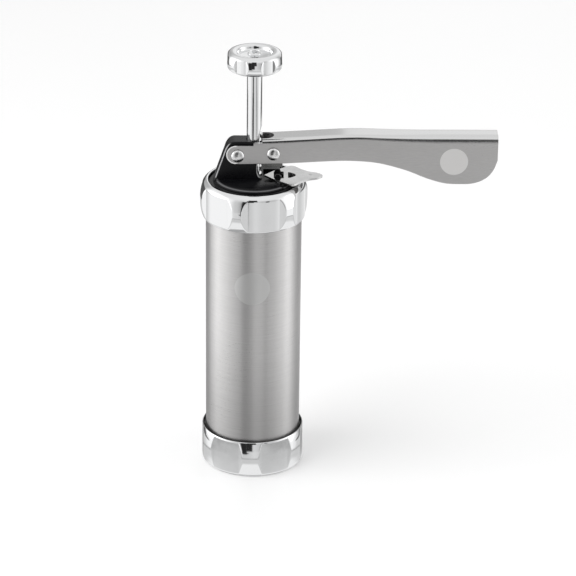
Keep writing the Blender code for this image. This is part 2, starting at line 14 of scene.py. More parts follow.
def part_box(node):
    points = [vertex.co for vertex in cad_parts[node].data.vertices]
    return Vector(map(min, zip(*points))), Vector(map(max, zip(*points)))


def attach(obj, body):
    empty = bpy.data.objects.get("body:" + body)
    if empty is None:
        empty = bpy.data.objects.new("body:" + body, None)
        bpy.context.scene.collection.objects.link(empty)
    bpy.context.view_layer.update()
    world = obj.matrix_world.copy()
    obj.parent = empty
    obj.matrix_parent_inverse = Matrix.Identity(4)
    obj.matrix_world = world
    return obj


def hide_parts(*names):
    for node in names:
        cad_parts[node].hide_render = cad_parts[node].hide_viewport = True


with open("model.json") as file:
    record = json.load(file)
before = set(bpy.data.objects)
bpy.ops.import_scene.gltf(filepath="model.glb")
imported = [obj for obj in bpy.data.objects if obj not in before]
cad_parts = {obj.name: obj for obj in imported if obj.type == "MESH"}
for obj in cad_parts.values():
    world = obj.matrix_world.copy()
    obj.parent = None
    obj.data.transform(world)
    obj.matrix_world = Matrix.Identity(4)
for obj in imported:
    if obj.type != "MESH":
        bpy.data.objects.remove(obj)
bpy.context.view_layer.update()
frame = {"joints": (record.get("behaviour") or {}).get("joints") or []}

MM = 0.001


# ---------------------------------------------------------------- places, read from the frame

def joint_place(name):
    for joint in frame["joints"]:
        if joint["name"] == name:
            return Vector(joint["pos_m"])
    raise KeyError(name)


BARREL_LOW, BARREL_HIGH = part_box("barrel")
BARREL_R = BARREL_HIGH.x
ROD_LOW, ROD_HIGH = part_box("piston_rod")
LEVER_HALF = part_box("lever")[1].y
LEVER_PIVOT = joint_place("lever_pivot")
PAWL_PIVOT = joint_place("drive_pawl_swing")
RELEASE_PIVOT = joint_place("release_plate_rock")


# ---------------------------------------------------------------- sizes

BARREL_WALL = 0.8 * MM
DISC_THICK = 0.8 * MM
SHEET = 1.1 * MM                     # lever and release plate
WIRE_R = 0.35 * MM                   # both springs
RIVET_BORE_R = 2.3 * MM
PIN_BORE_R = 1.25 * MM

# Finger scallops of the two collars and the knob.
SCALLOPS = 6
SCALLOP_RISE = 1.6 * MM
SCALLOP_BLEND = 0.15 * MM
SCALLOPED_SIDES = 720

# The half-round end of the lever's cheeks.
REAR_X, REAR_Z, REAR_R = -10.1 * MM, 190.2 * MM, 5.4 * MM

# Ratchet teeth of the rod: a row of ledges below TEETH_TOP.
ROD_R = 4.23 * MM
ROD_NECK_R = 2.9 * MM
ROD_SIDES = 96
TEETH = 36
TOOTH_PITCH = 4.0 * MM
TEETH_TOP = 205.0 * MM

# Blank frosted roundels on the barrel and on the lever's grip.
BADGE_X, BADGE_Z, BADGE_R = -0.6 * MM, 117.5 * MM, 9.9 * MM
ROUNDEL_X, ROUNDEL_Z, ROUNDEL_R = 111.1 * MM, 187.0 * MM, 7.8 * MM

# The ring on the head's cap rim where a highlight is painted: its radii and its heights. The
# bracket rises above it.
RIM_IN, RIM_OUT = 20.4 * MM, 21.9 * MM
RIM_LOW, RIM_HIGH = 172.8 * MM, 175.4 * MM


# ---------------------------------------------------------------- shape helpers

def link(name, bm, body, node, mat, smooth_angle=40.0, weighted=True):
    """Make a piece from a bmesh, let it ride on a body and stand for a CAD node."""
    bmesh.ops.recalc_face_normals(bm, faces=bm.faces)
    mesh = bpy.data.meshes.new(name)
    bm.to_mesh(mesh)
    bm.free()
    mesh.shade_smooth()
    mesh.set_sharp_from_angle(angle=math.radians(smooth_angle))
    mesh.materials.append(mat)
    obj = bpy.data.objects.new(name, mesh)
    bpy.context.scene.collection.objects.link(obj)
    if weighted:
        add_weighted_normals(obj)
    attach(obj, body)
    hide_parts(node)
    return obj


def add_weighted_normals(obj):
    mod = obj.modifiers.new("even_shading", "WEIGHTED_NORMAL")
    mod.keep_sharp = True
    mod.weight = 80


def tool(bm):
    """A temporary object to cut or join with."""
    bmesh.ops.recalc_face_normals(bm, faces=bm.faces)
    mesh = bpy.data.meshes.new("tool")
    bm.to_mesh(mesh)
    bm.free()
    obj = bpy.data.objects.new("tool", mesh)
    bpy.context.scene.collection.objects.link(obj)
    return obj


def carved(bm, steps, bevel=0.0, bevel_steps=2, bevel_angle=40.0):
    """Apply a list of (operation, bmesh) booleans, round the edges and give a bmesh."""
    base = tool(bm)
    tools = []
    for operation, other in steps:
        part = tool(other)
        tools.append(part)
        mod = base.modifiers.new("cut", "BOOLEAN")
        mod.operation = operation
        mod.object = part
    if bevel:
        mod = base.modifiers.new("edge", "BEVEL")
        mod.width = bevel
        mod.segments = bevel_steps
        mod.limit_method = "ANGLE"
        mod.angle_limit = math.radians(bevel_angle)
        mod.use_clamp_overlap = True
        mod.miter_outer = "MITER_ARC"
    bpy.context.view_layer.update()
    graph = bpy.context.evaluated_depsgraph_get()
    result = bmesh.new()
    result.from_object(base, graph)
    for part in tools + [base]:
        mesh = part.data
        bpy.data.objects.remove(part, do_unlink=True)
        bpy.data.meshes.remove(mesh)
    bmesh.ops.remove_doubles(result, verts=result.verts, dist=0.004 * MM)
    bmesh.ops.dissolve_degenerate(result, edges=result.edges, dist=0.002 * MM)
    return result


def even_angles(count):
    return [2.0 * math.pi * i / count for i in range(count)]


def scaled(points):
    """Millimetres to metres."""
    return [(a * MM, b * MM) for a, b in points]


def arc(cx, cy, r, start, end, steps):
    """Points round a circle, from one angle in degrees to another."""
    points = []
    for i in range(steps + 1):
        a = math.radians(start + (end - start) * i / steps)
        points.append((cx + r * math.cos(a), cy + r * math.sin(a)))
    return points


def fillet(points, r, steps=4):
    """Round the corners of a closed outline, apart from the nearly straight ones."""
    out = []
    count = len(points)
    for i, (x, y) in enumerate(points):
        here = Vector((x, y))
        back = Vector(points[i - 1]) - here
        ahead = Vector(points[(i + 1) % count]) - here
        angle = back.angle(ahead, math.pi)
        if angle > math.radians(168.0):
            out.append((x, y))
            continue
        reach = min(r / math.tan(angle / 2.0), back.length * 0.45, ahead.length * 0.45)
        start = here + back.normalized() * reach
        end = here + ahead.normalized() * reach
        for k in range(steps + 1):
            t = k / steps
            p = start * (1 - t) ** 2 + here * 2 * t * (1 - t) + end * t * t
            out.append((p.x, p.y))
    return out


def spline(points, per_span=6):
    """A smooth curve through a short list of points."""
    out = []
    last = len(points) - 1
    for i in range(last):
        p0, p1, p2, p3 = [Vector(points[max(0, min(last, k))]) for k in range(i - 1, i + 3)]
        for k in range(per_span):
            t = k / per_span
            p = 0.5 * ((2 * p1) + (p2 - p0) * t + (2 * p0 - 5 * p1 + 4 * p2 - p3) * t * t
                       + (3 * p1 - p0 - 3 * p2 + p3) * t ** 3)
            out.append(tuple(p))
    out.append(tuple(points[-1]))
    return out


def turned(profile, count, radius=None, turn=None):
    """Revolve an outline of (r, z) points about Z: closed, or from axis to axis.

    radius(angle, r) may change a point's distance from the axis, and turn moves the result.
    """
    bm = bmesh.new()
    columns = []
    on_axis = {}
    for angle in even_angles(count):
        column = []
        for i, (r, z) in enumerate(profile):
            if r < 1e-7:
                if i not in on_axis:
                    on_axis[i] = bm.verts.new((0.0, 0.0, z))
                column.append(on_axis[i])
                continue
            reach = radius(angle, r) if radius else r
            column.append(bm.verts.new((reach * math.cos(angle), reach * math.sin(angle), z)))
        columns.append(column)
    total = len(profile)
    closed = profile[0][0] > 1e-7
    for a, b in zip(columns, columns[1:] + columns[:1]):
        for i in range(total if closed else total - 1):
            j = (i + 1) % total
            corners = []
            for vert in (a[i], b[i], b[j], a[j]):
                if vert not in corners:
                    corners.append(vert)
            if len(corners) > 2:
                bm.faces.new(corners)
    if turn:
        bm.transform(turn)
    return bm


def prism(outline, low, high, axis="Y", edge=0.0, edge_steps=2):
    """Extrude a closed outline along Y or Z, with rounded rims if edge is given."""
    bm = bmesh.new()
    rings = []
    for level in (low, high):
        if axis == "Y":
            rings.append([bm.verts.new((u, level, v)) for u, v in outline])
        else:
            rings.append([bm.verts.new((u, v, level)) for u, v in outline])
    caps = [bm.faces.new(rings[0]), bm.faces.new(list(reversed(rings[1])))]
    count = len(outline)
    for i in range(count):
        j = (i + 1) % count
        bm.faces.new((rings[0][i], rings[1][i], rings[1][j], rings[0][j]))
    bmesh.ops.recalc_face_normals(bm, faces=bm.faces)
    if edge:
        rim = [e for cap in caps for e in cap.edges]
        bmesh.ops.bevel(bm, geom=rim, offset=edge, segments=edge_steps, profile=0.5,
                        affect="EDGES", clamp_overlap=True)
    return bm


def block(x0, x1, y0, y1, z0, z1):
    return prism([(x0, y0), (x1, y0), (x1, y1), (x0, y1)], z0, z1, axis="Z")


def cross_cylinder(r, half, centre, sides=48):
    """A cylinder along Y through the XZ place of centre."""
    return prism(arc(centre.x, centre.z, r, 0.0, 360.0, sides)[:-1], -half, half)


def scalloped(centre, flat, edge, floor, core):
    """A radius rule that presses finger scallops into everything outside the core radius.

    A scallop lies round its centre angle. It is at its floor radius over the flat half
    angle, and SCALLOP_RISE higher at the edge half angle.
    """
    pitch = 360.0 / SCALLOPS

    def radius(angle, r):
        if r < core:
            return r
        off = abs((math.degrees(angle) - centre + pitch / 2) % pitch - pitch / 2)
        reach = floor + SCALLOP_RISE * max(0.0, (off - flat) / (edge - flat))
        return soft_min(r, reach, SCALLOP_BLEND)

    return radius


def soft_min(a, b, blend):
    """The lesser of two lengths, rounded where they meet."""
    h = max(blend - abs(a - b), 0.0) / blend
    return min(a, b) - h * h * blend * 0.25


def smooth_value(points, x):
    """Height of a smooth curve through a short list of (x, height) points."""
    if x <= points[0][0]:
        return points[0][1]
    for i in range(len(points) - 1):
        x1, y1 = points[i]
        x2, y2 = points[i + 1]
        if x <= x2:
            x0, y0 = points[max(i - 1, 0)]
            x3, y3 = points[min(i + 2, len(points) - 1)]
            span = x2 - x1
            m1 = (y2 - y0) / (x2 - x0) * span
            m2 = (y3 - y1) / (x3 - x1) * span
            t = (x - x1) / span
            return ((2 * t**3 - 3 * t**2 + 1) * y1 + (t**3 - 2 * t**2 + t) * m1
                    + (-2 * t**3 + 3 * t**2) * y2 + (t**3 - t**2) * m2)
    return points[-1][1]


def wire(points, r, sides=12):
    """A round wire along a list of points, with flat ends."""
    bm = bmesh.new()
    rings = []
    side = Vector((0.0, 1.0, 0.0))
    for i, here in enumerate(points):
        ahead = points[min(i + 1, len(points) - 1)] - points[max(i - 1, 0)]
        ahead.normalize()
        side = (side - ahead * side.dot(ahead)).normalized()
        other = ahead.cross(side)
        ring = []
        for k in range(sides):
            a = 2.0 * math.pi * k / sides
            ring.append(bm.verts.new(here + (side * math.cos(a) + other * math.sin(a)) * r))
        rings.append(ring)
    for a, b in zip(rings, rings[1:]):
        for k in range(sides):
            j = (k + 1) % sides
            bm.faces.new((a[k], a[j], b[j], b[k]))
    bm.faces.new(rings[0])
    bm.faces.new(list(reversed(rings[-1])))
    return bm


def torsion_coil(centre, r, half, turns, first_leg, last_leg, start):
    """Coil about a Y axis through centre, with a straight leg at each end."""
    steps = 32
    points = [Vector((first_leg[0], -half, first_leg[1]))]
    total = int(turns * steps)
    for i in range(total + 1):
        a = math.radians(start) + 2.0 * math.pi * i / steps
        y = -half + 2.0 * half * i / total
        points.append(Vector((centre.x + r * math.cos(a), y, centre.z + r * math.sin(a))))
    points.append(Vector((last_leg[0], half, last_leg[1])))
    return points


# ---------------------------------------------------------------- material helpers

class Nodes:
    """A short way to build a material's nodes."""

    def __init__(self, name, colour, roughness, metallic, **sockets):
        self.mat = bpy.data.materials.new(name)
        self.mat.use_nodes = True
        self.tree = self.mat.node_tree
        self.shader = self.tree.nodes["Principled BSDF"]
        self.set(self.shader, **{"Base Color": (*colour, 1.0), "Roughness": roughness,
                                 "Metallic": metallic})
        for key, value in sockets.items():
            self.shader.inputs[key.replace("_", " ")].default_value = value
        coordinates = self.tree.nodes.new("ShaderNodeTexCoord")
        self.place = coordinates.outputs["Object"]
        self.normal = coordinates.outputs["Normal"]

    def set(self, node, **values):
        for key, value in values.items():
            node.inputs[key].default_value = value

    def link(self, source, target):
        self.tree.links.new(source, target)

    def math(self, operation, a, b=None):
        node = self.tree.nodes.new("ShaderNodeMath")
        node.operation = operation
        for socket, value in zip(node.inputs, (a, b)):
            if value is None:
                continue
            if isinstance(value, (int, float)):
                socket.default_value = value
            else:
                self.link(value, socket)
        return node.outputs[0]

    def length(self, a, b):
        """The length of a flat vector with these two parts."""
        squares = self.math("ADD", self.math("MULTIPLY", a, a), self.math("MULTIPLY", b, b))
        return self.math("SQRT", squares)

    def split(self, vector):
        node = self.tree.nodes.new("ShaderNodeSeparateXYZ")
        self.link(vector, node.inputs[0])
        return node.outputs

    def join(self, x, y, z):
        node = self.tree.nodes.new("ShaderNodeCombineXYZ")
        for socket, value in zip(node.inputs, (x, y, z)):
            if isinstance(value, (int, float)):
                socket.default_value = value
            else:
                self.link(value, socket)
        return node.outputs[0]

    def stretch(self, scale):
        node = self.tree.nodes.new("ShaderNodeMapping")
        node.inputs["Scale"].default_value = scale
        self.link(self.place, node.inputs["Vector"])
        return node.outputs[0]

    def noise(self, vector, detail=2.0, roughness=0.5):
        node = self.tree.nodes.new("ShaderNodeTexNoise")
        self.set(node, Scale=1.0, Detail=detail, Roughness=roughness)
        self.link(vector, node.inputs["Vector"])
        return node.outputs["Fac"]

    def span(self, value, low, high, to_low, to_high):
        node = self.tree.nodes.new("ShaderNodeMapRange")
        node.interpolation_type = "SMOOTHSTEP"
        self.link(value, node.inputs["Value"])
        self.set(node, **{"From Min": low, "From Max": high, "To Min": to_low, "To Max": to_high})
        return node.outputs["Result"]

    def mix(self, factor, a, b):
        """Blend two colours or two sockets."""
        node = self.tree.nodes.new("ShaderNodeMix")
        node.data_type = "RGBA"
        if isinstance(factor, float):
            node.inputs[0].default_value = factor
        else:
            self.link(factor, node.inputs[0])
        for socket, value in ((node.inputs[6], a), (node.inputs[7], b)):
            if isinstance(value, tuple):
                socket.default_value = (*value, 1.0)
            else:
                self.link(value, socket)
        return node.outputs[2]

    def bump(self, height, strength, distance):
        node = self.tree.nodes.new("ShaderNodeBump")
        self.set(node, Strength=strength, Distance=distance)
        self.link(height, node.inputs["Height"])
        self.link(node.outputs[0], self.shader.inputs["Normal"])

    def roughness(self, value):
        self.link(value, self.shader.inputs["Roughness"])

    def colour(self, value):
        self.link(value, self.shader.inputs["Base Color"])


def chrome_material():
    """Mirror plating with the faintest handling marks."""
    m = Nodes("chrome_plate", (0.85, 0.855, 0.86), 0.05, 1.0)
    smear = m.noise(m.stretch((60.0, 60.0, 90.0)), detail=4.0)
    fine = m.noise(m.stretch((900.0, 900.0, 300.0)), detail=2.0)
    m.roughness(m.math("ADD", m.span(smear, 0.35, 0.75, 0.035, 0.085),
                       m.span(fine, 0.4, 0.8, 0.0, 0.02)))
    m.bump(smear, 0.04, 0.2 * MM)
    return m.mat


def round_brush_coordinates(m, round_scale, height_scale):
    """Coordinates that follow brush lines round a Z axis."""
    x, y, z = m.split(m.place)
    angle = m.math("ARCTAN2", y, x)
    return m.join(m.math("MULTIPLY", m.math("SINE", angle), round_scale),
                  m.math("MULTIPLY", m.math("COSINE", angle), round_scale),
                  m.math("MULTIPLY", z, height_scale))


def disc_mask(m, u, v, centre_u, centre_v, r, side, sign):
    """1 inside a flat round patch on one side of the object."""
    reach = m.length(m.math("SUBTRACT", u, centre_u), m.math("SUBTRACT", v, centre_v))
    soft = 0.12 * MM
    inside = m.span(reach, r - soft, r + soft, 1.0, 0.0)
    facing = m.math("GREATER_THAN", m.math("MULTIPLY", side, sign), 0.0)
    return m.math("MULTIPLY", inside, facing)


def barrel_material():
    """Stainless tube brushed round its axis, with shade painted towards its foot, and a blank
    roundel.
    """
    m = Nodes("barrel_steel", (0.62, 0.61, 0.605), 0.31, 1.0, Anisotropic=0.72,
              Anisotropic_Rotation=0.25)
    tangent = m.tree.nodes.new("ShaderNodeTangent")
    tangent.direction_type = "RADIAL"
    tangent.axis = "Z"
    m.link(tangent.outputs[0], m.shader.inputs["Tangent"])
    long_lines = m.noise(round_brush_coordinates(m, 1.2, 2600.0), detail=3.0, roughness=0.6)
    short_lines = m.noise(round_brush_coordinates(m, 9.0, 5200.0), detail=2.0, roughness=0.6)
    lines = m.math("ADD", m.math("MULTIPLY", long_lines, 0.6),
                   m.math("MULTIPLY", short_lines, 0.4))
    cloud = m.noise(m.stretch((30.0, 30.0, 18.0)), detail=3.0)
    x, y, z = m.split(m.place)
    roundel = disc_mask(m, x, z, BADGE_X, BADGE_Z, BADGE_R, y, -1.0)
    steel = m.mix(m.span(lines, 0.3, 0.7, 0.0, 1.0), (0.585, 0.578, 0.575),
                  (0.655, 0.648, 0.645))
    steel = m.mix(roundel, steel, (0.745, 0.745, 0.74))
    # Painted shade: the colour is mixed towards black by up to 28 % from 98 mm down to 12 mm,
    # standing in for darker reflections low on the tube.
    painted_shade_low_down = m.span(z, 12.0 * MM, 98.0 * MM, 0.28, 0.0)
    m.colour(m.mix(painted_shade_low_down, steel, (0.0, 0.0, 0.0)))
    rough = m.math("ADD", m.span(lines, 0.3, 0.7, 0.28, 0.35),
                   m.span(cloud, 0.3, 0.7, -0.02, 0.03))
    m.roughness(m.math("ADD", rough, m.math("MULTIPLY", roundel, 0.16)))
    m.bump(lines, 0.12, 0.05 * MM)
    return m.mat


def lever_material():
    """Satin pressed steel: brushed cheeks, a buffed top, a smoother rear rim with a painted
    highlight, a blank roundel.
    """
    m = Nodes("lever_steel", (0.42, 0.415, 0.41), 0.34, 1.0)
    grain = m.noise(m.stretch((260.0, 900.0, 3600.0)), detail=3.0, roughness=0.6)
    cloud = m.noise(m.stretch((25.0, 60.0, 60.0)), detail=3.0)
    top = m.span(m.split(m.normal)[2], 0.10, 0.45, 0.0, 1.0)
    x, y, z = m.split(m.place)
    roundel = disc_mask(m, x, z, ROUNDEL_X, ROUNDEL_Z, ROUNDEL_R, y, -1.0)
    side = m.mix(m.span(grain, 0.3, 0.7, 0.0, 1.0), (0.565, 0.558, 0.555),
                 (0.625, 0.617, 0.613))
    side = m.mix(roundel, side, (0.96, 0.95, 0.94))
    # Painted highlight: a thin lip along the cheeks' half-round rear end is lightened to stand
    # for gloss on its edge; the same mask also makes it smoother.
    along = m.math("SUBTRACT", x, REAR_X)
    reach = m.length(along, m.math("SUBTRACT", z, REAR_Z))
    rim = m.math("MULTIPLY", m.span(reach, REAR_R - 0.75 * MM, REAR_R - 0.5 * MM, 0.0, 1.0),
                 m.span(along, -0.3 * MM, 1.2 * MM, 1.0, 0.0))
    side = m.mix(rim, side, (0.95, 0.95, 0.95))
    m.colour(m.mix(top, side, (0.74, 0.74, 0.74)))
    rough = m.math("ADD", m.span(grain, 0.3, 0.7, 0.30, 0.40),
                   m.span(cloud, 0.3, 0.7, -0.03, 0.03))
    rough = m.math("ADD", rough, m.math("MULTIPLY", roundel, 0.12))
    buffed = 0.12
    polish = m.math("MULTIPLY", m.math("SUBTRACT", rough, buffed), m.math("MAXIMUM", top, rim))
    m.roughness(m.math("SUBTRACT", rough, polish))
    m.bump(grain, 0.08, 0.04 * MM)
    return m.mat


def black_plastic_material():
    """Moulded black plastic, with highlights painted where its bracket's edges and its rim ring
    shine.
    """
    m = Nodes("black_plastic", (0.005, 0.005, 0.006), 0.30, 0.0, IOR=1.5, Specular_IOR_Level=0.2)
    skin = m.noise(m.stretch((2600.0, 2600.0, 2600.0)), detail=3.0)
    flow = m.noise(m.stretch((90.0, 90.0, 60.0)), detail=3.0)
    body = m.mix(m.span(flow, 0.3, 0.7, 0.0, 1.0), (0.004, 0.004, 0.005), (0.008, 0.008, 0.009))
    # Painted highlight: bracket edges above the cap, turned between front and side, are lightened
    # to stand for gloss.
    facing = m.split(m.normal)
    corner = m.span(m.math("ABSOLUTE", m.math("MULTIPLY", facing[0], facing[1])),
                    0.20, 0.38, 0.0, 0.8)
    x, y, z = m.split(m.place)
    above_cap = m.span(z, RIM_HIGH, RIM_HIGH + 1.2 * MM, 0.0, 1.0)
    body = m.mix(m.math("MULTIPLY", corner, above_cap), body, (0.50, 0.50, 0.51))
    # Painted highlight: a ring round the cap's rim is lightened to stand for gloss on its rounded
    # edge.
    reach = m.length(x, y)
    ring = m.math("MULTIPLY", m.span(reach, RIM_IN, RIM_OUT - 0.5 * MM, 0.0, 1.0),
                  m.span(reach, RIM_OUT - 0.4 * MM, RIM_OUT, 1.0, 0.0))
    ring = m.math("MULTIPLY", ring, m.span(z, RIM_LOW, RIM_LOW + 0.6 * MM, 0.0, 1.0))
    ring = m.math("MULTIPLY", ring, m.span(z, RIM_HIGH - 0.2 * MM, RIM_HIGH, 1.0, 0.0))
    m.colour(m.mix(ring, body, (0.13, 0.13, 0.135)))
    m.roughness(m.math("ADD", m.span(skin, 0.3, 0.7, 0.25, 0.33),
                       m.span(flow, 0.3, 0.7, -0.03, 0.05)))
    m.bump(skin, 0.25, 0.02 * MM)
    return m.mat


def bare_steel_material():
    """Semi-bright pressed or turned steel with rolling marks."""
    m = Nodes("bare_steel", (0.66, 0.66, 0.66), 0.2, 1.0)
    rolling = m.noise(m.stretch((500.0, 3200.0, 1500.0)), detail=3.0, roughness=0.6)
    cloud = m.noise(m.stretch((140.0, 140.0, 140.0)), detail=4.0)
    m.colour(m.mix(m.span(cloud, 0.3, 0.7, 0.0, 1.0), (0.60, 0.60, 0.60), (0.72, 0.72, 0.715)))
    m.roughness(m.math("ADD", m.span(rolling, 0.3, 0.7, 0.13, 0.22),
                       m.span(cloud, 0.3, 0.7, -0.02, 0.04)))
    m.bump(rolling, 0.10, 0.04 * MM)
    return m.mat


def pawl_steel_material():
    """Darker hardened steel of the drive pawl."""
    m = Nodes("pawl_steel", (0.18, 0.18, 0.18), 0.3, 1.0)
    rolling = m.noise(m.stretch((900.0, 2400.0, 2400.0)), detail=3.0)
    cloud = m.noise(m.stretch((200.0, 200.0, 200.0)), detail=4.0)
    m.colour(m.mix(m.span(cloud, 0.3, 0.7, 0.0, 1.0), (0.14, 0.14, 0.14), (0.22, 0.22, 0.215)))
    m.roughness(m.span(rolling, 0.3, 0.7, 0.24, 0.38))
    m.bump(rolling, 0.12, 0.04 * MM)
    return m.mat


def spring_material():
    """Drawn wire with fine die lines."""
    m = Nodes("spring_wire", (0.56, 0.56, 0.57), 0.22, 1.0)
    lines = m.noise(m.stretch((3000.0, 3000.0, 3000.0)), detail=3.0)
    m.roughness(m.span(lines, 0.3, 0.7, 0.16, 0.30))
    m.bump(lines, 0.10, 0.02 * MM)
    return m.mat


def rivet_material():
    """Tumbled bright steel of the rivet heads."""
    m = Nodes("rivet_steel", (0.84, 0.84, 0.84), 0.2, 1.0)
    dents = m.noise(m.stretch((420.0, 420.0, 420.0)), detail=3.0)
    m.roughness(m.span(dents, 0.3, 0.7, 0.20, 0.30))
    m.bump(dents, 0.18, 0.12 * MM)
    return m.mat


def white_plastic_material():
    """Food-grade moulded plastic of the piston."""
    m = Nodes("white_plastic", (0.84, 0.84, 0.82), 0.42, 0.0, IOR=1.48, Subsurface_Weight=0.08,
              Subsurface_Scale=0.002)
    skin = m.noise(m.stretch((1500.0, 1500.0, 1500.0)), detail=3.0)
    flow = m.noise(m.stretch((70.0, 70.0, 70.0)), detail=3.0)
    m.colour(m.mix(m.span(flow, 0.3, 0.7, 0.0, 1.0), (0.81, 0.81, 0.785), (0.87, 0.87, 0.855)))
    m.roughness(m.span(skin, 0.3, 0.7, 0.36, 0.48))
    m.bump(skin, 0.15, 0.02 * MM)
    return m.mat


def seal_material():
    """Translucent pale silicone of the piston's seal."""
    m = Nodes("seal_silicone", (0.76, 0.76, 0.74), 0.5, 0.0, IOR=1.42)
    dust = m.noise(m.stretch((2200.0, 2200.0, 2200.0)), detail=3.0)
    m.colour(m.mix(m.span(dust, 0.35, 0.75, 0.0, 1.0), (0.77, 0.77, 0.75), (0.70, 0.70, 0.68)))
    m.roughness(m.span(dust, 0.3, 0.7, 0.45, 0.6))
    m.bump(dust, 0.2, 0.02 * MM)
    return m.mat


CHROME = chrome_material()
BARREL_STEEL = barrel_material()
LEVER_STEEL = lever_material()
BLACK = black_plastic_material()
BARE = bare_steel_material()
PAWL_STEEL = pawl_steel_material()
SPRING = spring_material()
RIVET = rivet_material()
WHITE = white_plastic_material()
SEAL = seal_material()


# ---------------------------------------------------------------- barrel, collars and disc

def make_barrel():
    inner = BARREL_R - BARREL_WALL
    outline = [(inner, BARREL_LOW.z), (BARREL_R, BARREL_LOW.z), (BARREL_R, BARREL_HIGH.z),
               (inner, BARREL_HIGH.z)]
    outline = fillet(outline, 0.3 * MM, 4)
    return link("barrel_tube", turned(outline, 256), "press_body", "barrel",
                BARREL_STEEL)


def make_upper_collar():
    side = spline(scaled([(28.2, 151.85), (28.6, 152.15), (29.0, 152.9), (29.75, 155.5),
                          (30.25, 159.2), (30.38, 163.0), (30.18, 166.4), (29.5, 169.6),
                          (28.5, 171.7), (27.3, 173.0), (26.5, 173.5)]), 6)
    inner = scaled([(25.8, 173.3), (25.8, 170.5), (27.3, 170.5), (27.3, 151.85)])
    outline = fillet(side + inner, 0.25 * MM, 4)
    radius = scalloped(centre=-78.5, flat=18.5, edge=25.5, floor=28.9 * MM, core=27.6 * MM)
    return link("upper_collar_ring", turned(outline, SCALLOPED_SIDES, radius), "upper_collar",
                "upper_collar", CHROME, smooth_angle=60.0)


def make_lower_collar():
    side = spline(scaled([(28.4, 0.05), (28.95, 0.7), (29.35, 3.2), (29.82, 7.5), (29.96, 11.5),
                          (29.82, 16.0), (29.35, 20.0), (29.05, 21.2), (28.75, 21.66)]), 6)
    inner = scaled([(28.5, 21.55), (28.3, 19.4), (27.3, 17.2), (27.3, 0.9), (24.2, 0.9),
                    (23.65, 0.05)])
    outline = fillet(side + inner, 0.2 * MM, 3)
    radius = scalloped(centre=-62.2, flat=16.6, edge=24.4, floor=29.05 * MM, core=28.0 * MM)
    return link("lower_collar_ring", turned(outline, SCALLOPED_SIDES, radius), "lower_collar",
                "lower_collar", CHROME, smooth_angle=60.0)


def make_forming_disc():
    low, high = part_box("forming_disc")
    r = high.x
    top = low.z + DISC_THICK
    outline = fillet([(r, low.z), (r, high.z), (r - 1.0 * MM, high.z), (r - 1.6 * MM, top)],
                     0.3 * MM, 4)
    ridge = [(19.6 * MM, top), (19.0 * MM, top + 0.25 * MM), (18.4 * MM, top)]
    flat = [(r - 2.4 * MM, top)] + ridge + [(0.0, top)]
    outline = [(0.0, low.z)] + outline + flat
    petal = scaled([(-4.2, 0.0), (0.4, -1.5), (4.2, 0.0), (0.4, 1.5)])
    petal = fillet(petal, 0.5 * MM, 3)
    petals, petal_reach = 16, 13.5 * MM
    cuts = []
    for angle in even_angles(petals):
        turn = Matrix.Rotation(angle, 4, "Z") @ Matrix.Translation((petal_reach, 0.0, 0.0))
        hole = prism(petal, low.z - 1.0 * MM, low.z + 4.0 * MM, "Z")
        hole.transform(turn)
        cuts.append(("DIFFERENCE", hole))
    bm = carved(turned(outline, 128), cuts, bevel=0.08 * MM, bevel_steps=1, bevel_angle=60.0)
    return link("star_disc", bm, "lower_collar", "forming_disc", BARE)


# ---------------------------------------------------------------- head

def make_head():
    rod_bore = 4.55
    cap = scaled([
        (rod_bore, 160.0), (8.0, 160.0), (8.6, 168.0), (23.4, 168.0), (23.6, 163.5),
        (25.5, 163.5), (25.6, 168.5), (26.9, 168.5), (26.9, 170.2), (25.3, 170.2), (25.2, 171.8),
        (24.5, 172.3), (23.0, 172.3), (22.75, 173.1),
    ])
    cap = fillet(cap, 0.3 * MM, 3)
    cap += spline(scaled([(22.5, 173.6), (21.7, 174.0), (20.4, 174.55), (18.6, 174.9),
                          (16.4, 175.05), (14.0, 175.1)]), 5)
    cap.append((rod_bore * MM, 175.1 * MM))
    left = scaled([(-22.0, 172.6), (-22.0, 175.3), (-15.9, 193.2)])
    crown = [(x * MM, z * MM) for x, z in arc(-10.7, 192.3, 5.0, 155.0, 90.0, 10)]
    front = scaled([(1.9, 197.3), (1.9, 179.0), (2.6, 177.0), (4.4, 175.6), (4.4, 172.6)])
    bracket_half = 5.6 * MM
    bracket = prism(left + crown + front, -bracket_half, bracket_half, edge=0.9 * MM,
                    edge_steps=5)
    bore = turned(scaled([(0.0, 158.0), (rod_bore, 158.0), (rod_bore, 200.0), (0.0, 200.0)]), 64)
    steps = [("UNION", bracket), ("DIFFERENCE", bore)]
    # The release plate's recess, narrow then wide, and the well for its hinge.
    rim, above, recess_floor, well_floor = 30.0 * MM, 178.0 * MM, 173.2 * MM, 170.6 * MM
    for start, end, half, floor in ((5.1 * MM, rim, 9.9 * MM, recess_floor),
                                    (14.6 * MM, rim, 14.9 * MM, recess_floor),
                                    (10.4 * MM, 18.6 * MM, 7.0 * MM, well_floor)):
        steps.append(("DIFFERENCE", block(start, end, -half, half, floor, above)))
    lug = fillet(scaled([(11.4, 170.0), (15.6, 170.0), (15.6, 174.6), (14.4, 177.6),
                         (12.0, 177.6), (11.4, 176.2)]), 0.5 * MM, 4)
    lug_in, lug_out = 3.4 * MM, 4.8 * MM
    for side in (-1.0, 1.0):
        low, high = sorted((side * lug_in, side * lug_out))
        steps.append(("UNION", prism(lug, low, high, edge=0.25 * MM)))
    steps.append(("DIFFERENCE", cross_cylinder(PIN_BORE_R, 6.0 * MM, RELEASE_PIVOT)))
    steps.append(("DIFFERENCE", cross_cylinder(RIVET_BORE_R, 8.0 * MM, LEVER_PIVOT)))
    bm = carved(turned(cap, 160), steps)
    return link("head_moulding", bm, "press_body", "head", BLACK,
                smooth_angle=35.0)


# ---------------------------------------------------------------- lever and rivets

